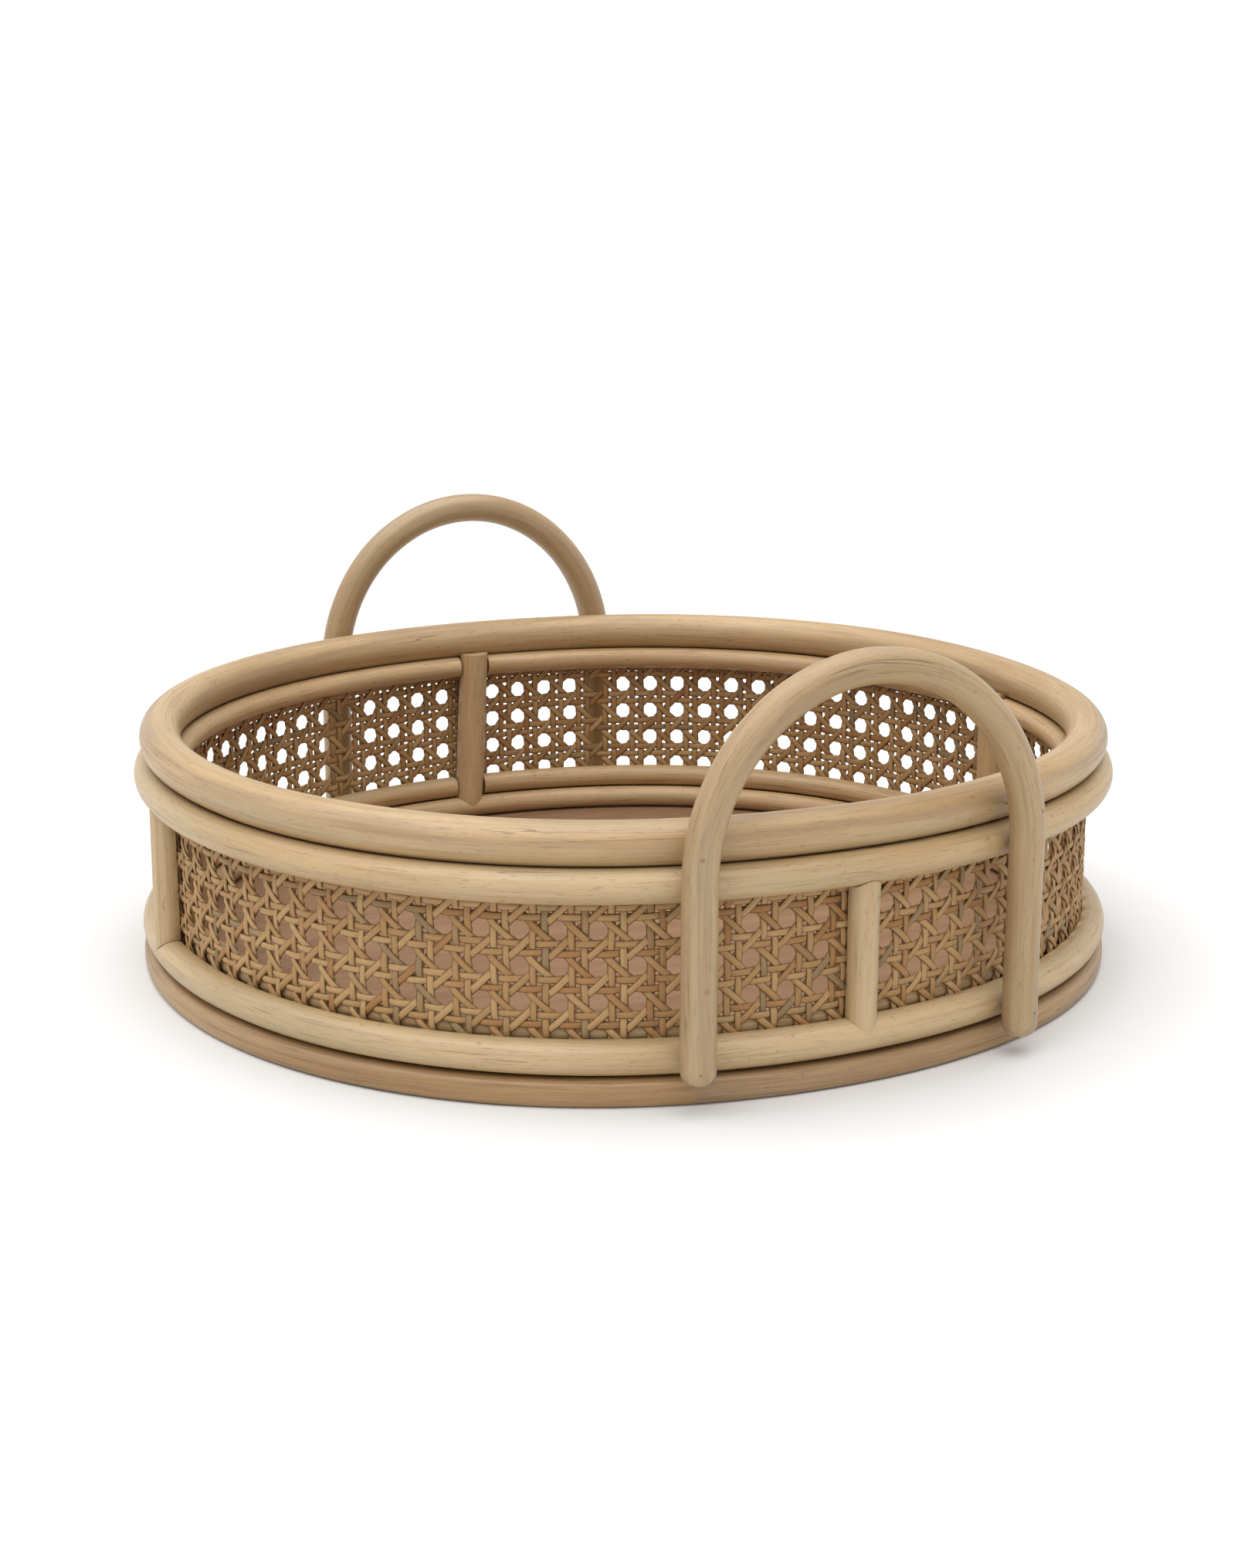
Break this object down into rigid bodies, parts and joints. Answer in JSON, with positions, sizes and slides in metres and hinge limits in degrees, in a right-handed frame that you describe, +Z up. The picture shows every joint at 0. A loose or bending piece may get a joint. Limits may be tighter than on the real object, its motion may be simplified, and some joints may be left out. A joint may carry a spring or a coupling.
{
  "type": "round rattan serving basket",
  "caption": "Round tray basket of bent rattan poles with a wall of woven split cane, a solid floor and an arched handle at the front and at the back.",
  "frame": {"origin": "centre of the basket on the plane it stands on", "axes": "+Z up along the basket's axis, front handle towards -Y, back handle towards +Y, +X to the right"},
  "size_m": [0.3816, 0.381, 0.1552],
  "materials": {
    "rattan_pole": "peeled rattan pole under a thin satin lacquer",
    "base_pole": "darker rattan pole, satin",
    "woven_cane": "split cane strands in a six-way weave, satin",
    "floor_board": "thin stained board, matt",
    "brad_steel": "dull darkened wire brad"
  },
  "bodies": {
    "root": {"top_rim": "rattan_pole", "upper_outer_band": "rattan_pole", "lower_outer_band": "rattan_pole", "base_ring": "base_pole", "floor_ring": "rattan_pole", "floor_panel": "floor_board", "cane_webbing": "woven_cane", "front_handle": "rattan_pole", "back_handle": "rattan_pole", "upper_inner_band_back_right": "rattan_pole", "upper_inner_band_back_left": "rattan_pole", "upper_inner_band_front_left": "rattan_pole", "upper_inner_band_front_right": "rattan_pole", "lower_inner_band_back_right": "rattan_pole", "lower_inner_band_back_left": "rattan_pole", "lower_inner_band_front_left": "rattan_pole", "lower_inner_band_front_right": "rattan_pole", "outer_post_front": "rattan_pole", "outer_post_back": "rattan_pole", "outer_post_left": "rattan_pole", "outer_post_right": "rattan_pole", "inner_post_front": "rattan_pole", "inner_post_back": "rattan_pole", "inner_post_left": "rattan_pole", "inner_post_right": "rattan_pole", "brad_front_left_rim": "brad_steel", "brad_front_left_band": "brad_steel", "brad_front_right_rim": "brad_steel", "brad_front_right_band": "brad_steel", "brad_back_left_rim": "brad_steel", "brad_back_left_band": "brad_steel", "brad_back_right_rim": "brad_steel", "brad_back_right_band": "brad_steel"}
  },
  "joints": []
}
